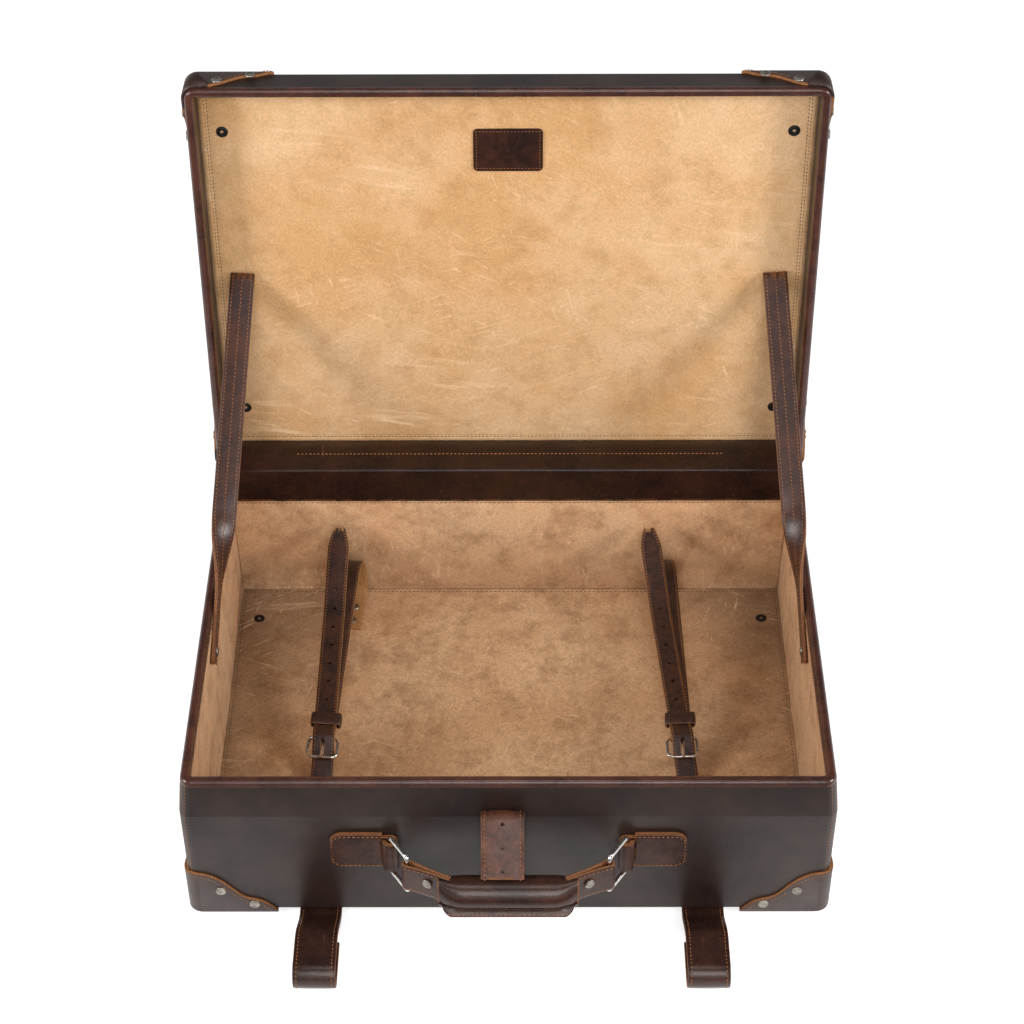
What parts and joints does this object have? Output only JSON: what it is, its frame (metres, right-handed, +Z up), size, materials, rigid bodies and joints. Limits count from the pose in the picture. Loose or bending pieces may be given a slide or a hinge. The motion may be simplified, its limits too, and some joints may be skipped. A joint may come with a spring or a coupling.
{
  "type": "suitcase",
  "caption": "Open leather suitcase: hinged lid on strap stays, buckled packing straps inside, riveted corner caps, belts underneath and a rolled carrying handle on rings.",
  "frame": {"origin": "on the ground under the middle of the case, on the centre belt's underside", "axes": "+X to the right seen from the front, -Y towards the handle at the front, +Z up"},
  "size_m": [0.56, 0.5537, 0.563],
  "materials": {
    "case_leather": "satin, dark brown oiled hide",
    "strap_leather": "satin, red-brown pull-up hide with tan cut edges",
    "suede": "matt tan suede",
    "board": "bare fibreboard",
    "core": "bare",
    "bright_wire": "polished nickel",
    "rivet": "dull antique",
    "stud": "black oxide"
  },
  "bodies": {
    "body": {"base_board": "board", "base_studs": "stud", "belt_centre": "strap_leather", "belt_centre_tip": "strap_leather", "belt_left": "strap_leather", "belt_right": "strap_leather", "body_cap_back_left": "strap_leather", "body_cap_back_right": "strap_leather", "body_cap_front_left": "strap_leather", "body_cap_front_right": "strap_leather", "body_cap_rivets": "rivet", "body_hinge_band": "case_leather", "body_rim_roll": "case_leather", "body_shell": "case_leather", "floor_lining": "suede", "handle_end_left": "strap_leather", "handle_end_right": "strap_leather", "handle_ring_left": "bright_wire", "handle_ring_right": "bright_wire", "handle_tab_fold_left": "strap_leather", "handle_tab_fold_right": "strap_leather", "handle_tab_left": "strap_leather", "handle_tab_right": "strap_leather", "hinge_flap_body": "case_leather", "lid_stay_left": "strap_leather", "lid_stay_right": "strap_leather", "lining_back": "suede", "lining_front": "suede", "lining_left": "suede", "lining_right": "suede", "packing_buckle_left": "bright_wire", "packing_buckle_right": "bright_wire", "packing_chape_left": "strap_leather", "packing_chape_right": "strap_leather", "packing_rivets": "rivet", "packing_strap_left": "strap_leather", "packing_strap_right": "strap_leather", "stay_rivets": "rivet"},
    "lid": {"hinge_flap_lid": "case_leather", "lid_cap_back_left": "strap_leather", "lid_cap_back_right": "strap_leather", "lid_cap_front_left": "strap_leather", "lid_cap_front_right": "strap_leather", "lid_cap_rivets": "rivet", "lid_hinge_band": "case_leather", "lid_label_patch": "case_leather", "lid_lining": "suede", "lid_rim_roll": "case_leather", "lid_shell": "case_leather", "lid_studs": "stud"},
    "handle": {"handle_cover": "strap_leather", "handle_core": "core", "handle_rivets": "rivet"},
    "prong_left": {"packing_prong_left": "bright_wire"},
    "keeper_left": {"packing_keeper_left": "strap_leather"},
    "prong_right": {"packing_prong_right": "bright_wire"},
    "keeper_right": {"packing_keeper_right": "strap_leather"}
  },
  "joints": [
    {"name": "lid_hinge", "type": "hinge", "parent": "body", "child": "lid", "pos_m": [0, 0.2007, 0.1622], "axis": [1, 0, 0], "range_deg": [0, 93.8], "deforming": ["lid_stay_left", "lid_stay_right"]},
    {"name": "handle_swing", "type": "hinge", "parent": "body", "child": "handle", "pos_m": [0, -0.21104, 0.0855], "axis": [1, 0, 0], "range_deg": [-25, 25], "deforming": ["handle_end_left", "handle_end_right", "handle_tab_fold_left", "handle_tab_fold_right", "belt_centre_tip"]},
    {"name": "prong_left_lift", "type": "hinge", "parent": "body", "child": "prong_left", "pos_m": [-0.16837, -0.03224, 0.03925], "axis": [-0.9962, 0.0872, 0], "range_deg": [0, 20]},
    {"name": "keeper_left_slide", "type": "slide", "parent": "body", "child": "keeper_left", "axis": [0.0849, 0.9707, 0.225], "range_m": [0, 0.009]},
    {"name": "prong_right_lift", "type": "hinge", "parent": "body", "child": "prong_right", "pos_m": [0.15619, -0.03225, 0.03925], "axis": [-0.999, -0.0436, 0], "range_deg": [0, 20]},
    {"name": "keeper_right_slide", "type": "slide", "parent": "body", "child": "keeper_right", "axis": [-0.0425, 0.9734, 0.225], "range_m": [0, 0.009]}
  ]
}
